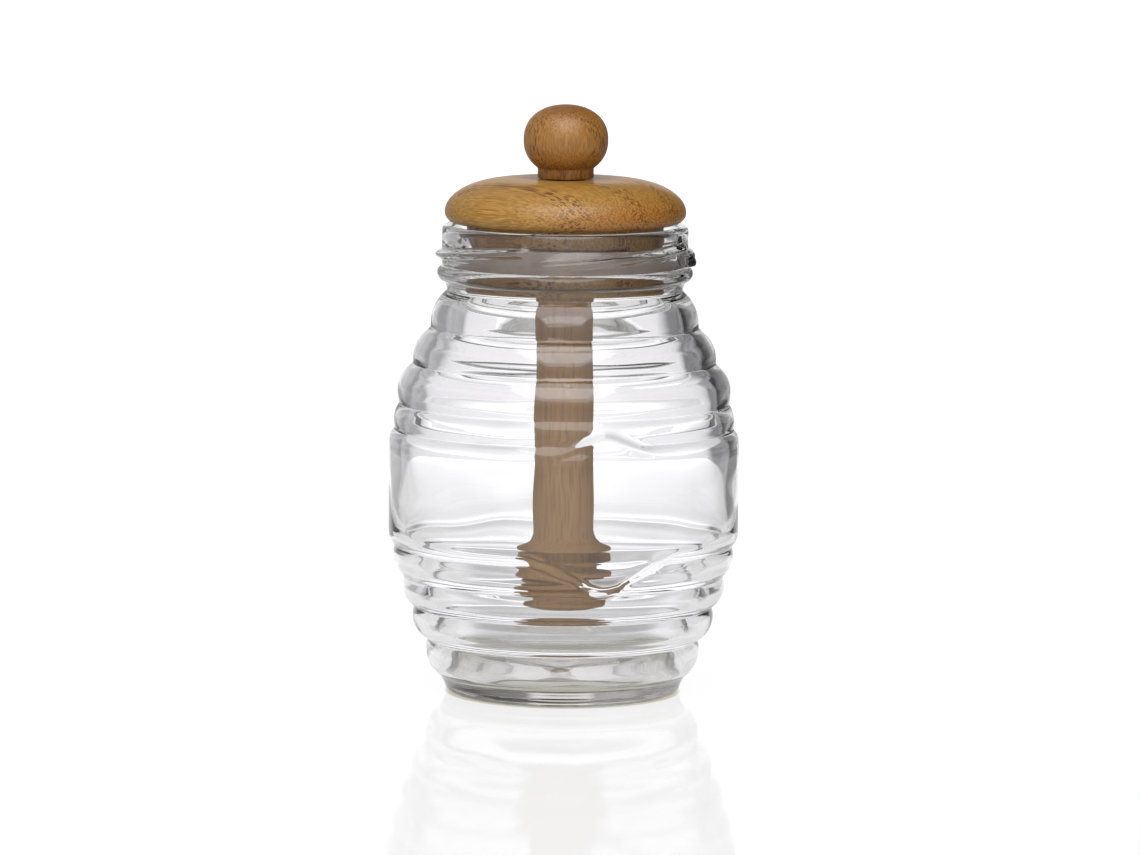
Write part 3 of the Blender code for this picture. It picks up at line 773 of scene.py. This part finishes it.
glow_front = put(acrylic_tree, "ShaderNodeMapRange",
                 {"Value": floor_parts.outputs["Y"], "From Min": FRONT_BLEND[0],
                  "From Max": FRONT_BLEND[1], "To Min": 0.0, "To Max": GLOW_OUTSIDE_FRONT},
                 interpolation_type="SMOOTHSTEP")
glow_outside = put(acrylic_tree, "ShaderNodeMath",
                   {0: glow_sides.outputs[0], 1: glow_front.outputs[0]}, operation="MAXIMUM")
glow_all = put(acrylic_tree, "ShaderNodeMix",
               {"Factor": outside_strip.outputs[0], 2: glow_lit.outputs[0],
                3: glow_outside.outputs[0]})
# The painted shade under the foot is painted a little yellow as well.
glow_colour = put(acrylic_tree, "ShaderNodeMixRGB",
                  {0: painted_foot_shade_mask.outputs[0], 1: tone("#ffffff"), 2: tone(PAINTED_FOOT_SHADE_TINT)})
acrylic_tree.links.new(glow_colour.outputs[0], acrylic_shader.inputs["Emission Color"])
acrylic_tree.links.new(glow_all.outputs[0], acrylic_shader.inputs["Emission Strength"])
floor_mesh.materials.append(acrylic)
floor = bpy.data.objects.new("floor", floor_mesh)
bpy.context.scene.collection.objects.link(floor)


# Light
# A lit white backdrop behind the jar, a dimmer studio all round it, and one large soft box
# overhead. All of it is a sky, so that the glass mirrors and bends it too.

# Each light is a radiance, where 1 shows as white. Each edge is a pair: where the light starts
# and where it is whole, as a part of the way's length or, on the soft box, as a slope.
BACKDROP = 1.05
BACKDROP_EDGE = (math.cos(math.radians(14)), math.cos(math.radians(8)))
BACKDROP_TOP = (0.30, 0.20)
SPILL_LEFT = 0.56
SPILL_RIGHT = 0.22
SPILL_EDGE = (math.cos(math.radians(42)), math.cos(math.radians(22)))
STUDIO_LEFT = 0.34
STUDIO_RIGHT = 0.04
SIDE_BLEND = 0.3
STUDIO_FRONT = 1.05
FRONT_EDGE = (-0.55, -0.90)
FRONT_LOW = 0.6
FRONT_RISE = (0.05, 0.25)
SOFTBOX = 3.8
SOFTBOX_HALF_WIDTH = 0.45
SOFTBOX_FRONT = 1.0 / math.tan(math.radians(31))
SOFTBOX_BACK = 0.08
SOFTBOX_EDGE = 0.04
LOWEST_SLOPE = 0.05
SKY_TINT = (1.0, 0.985, 1.01, 1.0)

sky = bpy.data.worlds.new("studio")
bpy.context.scene.world = sky
sky.use_nodes = True
sky_tree = sky.node_tree
sky_way = put(sky_tree, "ShaderNodeTexCoord")
sky_parts = put(sky_tree, "ShaderNodeSeparateXYZ", {0: sky_way.outputs["Generated"]})
level_way = put(sky_tree, "ShaderNodeCombineXYZ",
                {"X": sky_parts.outputs["X"], "Y": sky_parts.outputs["Y"]})
level_unit = put(sky_tree, "ShaderNodeVectorMath", {0: level_way.outputs[0]},
                 operation="NORMALIZE")
level_parts = put(sky_tree, "ShaderNodeSeparateXYZ", {0: level_unit.outputs[0]})

# The backdrop, the light that spills on both sides of it, and the edge above both.
backdrop_middle = put(sky_tree, "ShaderNodeMapRange",
                      {"Value": level_parts.outputs["Y"], "From Min": BACKDROP_EDGE[0],
                       "From Max": BACKDROP_EDGE[1], "To Max": BACKDROP},
                      interpolation_type="SMOOTHSTEP")
spill_side = put(sky_tree, "ShaderNodeMapRange",
                 {"Value": level_parts.outputs["X"], "From Min": -SIDE_BLEND,
                  "From Max": SIDE_BLEND, "To Min": SPILL_LEFT, "To Max": SPILL_RIGHT})
spill = put(sky_tree, "ShaderNodeMapRange",
            {"Value": level_parts.outputs["Y"], "From Min": SPILL_EDGE[0],
             "From Max": SPILL_EDGE[1], "To Max": spill_side.outputs[0]},
            interpolation_type="SMOOTHSTEP")
backdrop_whole = put(sky_tree, "ShaderNodeMath",
                     {0: backdrop_middle.outputs[0], 1: spill.outputs[0]}, operation="MAXIMUM")
below_top = put(sky_tree, "ShaderNodeMapRange",
                {"Value": sky_parts.outputs["Z"], "From Min": BACKDROP_TOP[0],
                 "From Max": BACKDROP_TOP[1]}, interpolation_type="SMOOTHSTEP")
backdrop = put(sky_tree, "ShaderNodeMath", {0: backdrop_whole.outputs[0], 1: below_top.outputs[0]},
               operation="MULTIPLY")

# The studio: dim at the sides, darker on the right, and lit behind the camera.
sides = put(sky_tree, "ShaderNodeMapRange",
            {"Value": level_parts.outputs["X"], "From Min": -SIDE_BLEND, "From Max": SIDE_BLEND,
             "To Min": STUDIO_LEFT, "To Max": STUDIO_RIGHT}, interpolation_type="SMOOTHSTEP")
front_level = put(sky_tree, "ShaderNodeMapRange",
                  {"Value": level_parts.outputs["Y"], "From Min": FRONT_EDGE[0],
                   "From Max": FRONT_EDGE[1], "To Max": STUDIO_FRONT},
                  interpolation_type="SMOOTHSTEP")
front_height = put(sky_tree, "ShaderNodeMapRange",
                   {"Value": sky_parts.outputs["Z"], "From Min": FRONT_RISE[0],
                    "From Max": FRONT_RISE[1], "To Min": FRONT_LOW, "To Max": 1.0},
                   interpolation_type="SMOOTHSTEP")
front = put(sky_tree, "ShaderNodeMath", {0: front_level.outputs[0], 1: front_height.outputs[0]},
            operation="MULTIPLY")
sides_and_back = put(sky_tree, "ShaderNodeMath", {0: sides.outputs[0], 1: backdrop.outputs[0]},
                     operation="MAXIMUM")
walls = put(sky_tree, "ShaderNodeMath", {0: sides_and_back.outputs[0], 1: front.outputs[0]},
            operation="MAXIMUM")

# The soft box: a rectangle overhead that reaches forward over the camera.
height_up = put(sky_tree, "ShaderNodeMath", {0: sky_parts.outputs["Z"], 1: LOWEST_SLOPE},
                operation="MAXIMUM")
slope_across = put(sky_tree, "ShaderNodeMath",
                   {0: sky_parts.outputs["X"], 1: height_up.outputs[0]}, operation="DIVIDE")
across_box = put(sky_tree, "ShaderNodeMath", {0: slope_across.outputs[0]}, operation="ABSOLUTE")
along_box = put(sky_tree, "ShaderNodeMath", {0: sky_parts.outputs["Y"], 1: height_up.outputs[0]},
                operation="DIVIDE")
box_width = put(sky_tree, "ShaderNodeMapRange",
                {"Value": across_box.outputs[0], "From Min": SOFTBOX_HALF_WIDTH + SOFTBOX_EDGE,
                 "From Max": SOFTBOX_HALF_WIDTH})
box_front = put(sky_tree, "ShaderNodeMapRange",
                {"Value": along_box.outputs[0], "From Min": -SOFTBOX_FRONT - SOFTBOX_EDGE,
                 "From Max": -SOFTBOX_FRONT})
box_back = put(sky_tree, "ShaderNodeMapRange",
               {"Value": along_box.outputs[0], "From Min": -SOFTBOX_BACK + SOFTBOX_EDGE,
                "From Max": -SOFTBOX_BACK})
box_wide_and_front = put(sky_tree, "ShaderNodeMath",
                         {0: box_width.outputs[0], 1: box_front.outputs[0]},
                         operation="MULTIPLY")
in_box = put(sky_tree, "ShaderNodeMath",
             {0: box_wide_and_front.outputs[0], 1: box_back.outputs[0]}, operation="MULTIPLY")
sky_light = put(sky_tree, "ShaderNodeMix",
                {"Factor": in_box.outputs[0], 2: walls.outputs[0], 3: SOFTBOX})
sky_shade = sky_tree.nodes["Background"]
sky_shade.inputs["Color"].default_value = SKY_TINT
sky_tree.links.new(sky_light.outputs[0], sky_shade.inputs["Strength"])


# Camera
# A long lens 1.86 m in front of the jar and 0.3 m up, looking down a little. Its place and its
# slight lean come from the ellipses of the rim and the foot in the photo.

PHOTO_WIDTH = 1140
FOCAL_PIXELS = 6970
SENSOR_WIDTH = 36.0
FARTHEST_VIEW = 100.0
CAMERA_PLACE = (0.0016, -1.8553, 0.2969)
CAMERA_PITCH = math.radians(6.936)
CAMERA_ROLL = 0.0068
lens = bpy.data.cameras.new("camera")
lens.sensor_width = SENSOR_WIDTH
lens.lens = FOCAL_PIXELS / PHOTO_WIDTH * SENSOR_WIDTH
lens.clip_end = FARTHEST_VIEW
camera = bpy.data.objects.new("camera", lens)
bpy.context.scene.collection.objects.link(camera)
camera.matrix_world = (Matrix.Translation(CAMERA_PLACE)
                       @ Matrix.Rotation(math.pi / 2 - CAMERA_PITCH, 4, "X")
                       @ Matrix.Rotation(CAMERA_ROLL, 4, "Z"))
bpy.context.scene.camera = camera

# Colours are shown as they are lit, and light passes through all of the glass's skins.
GLASS_BOUNCES = 24
MIRROR_BOUNCES = 8
studio = bpy.context.scene
studio.view_settings.view_transform = "Standard"
studio.cycles.max_bounces = GLASS_BOUNCES
studio.cycles.transmission_bounces = GLASS_BOUNCES
studio.cycles.glossy_bounces = MIRROR_BOUNCES
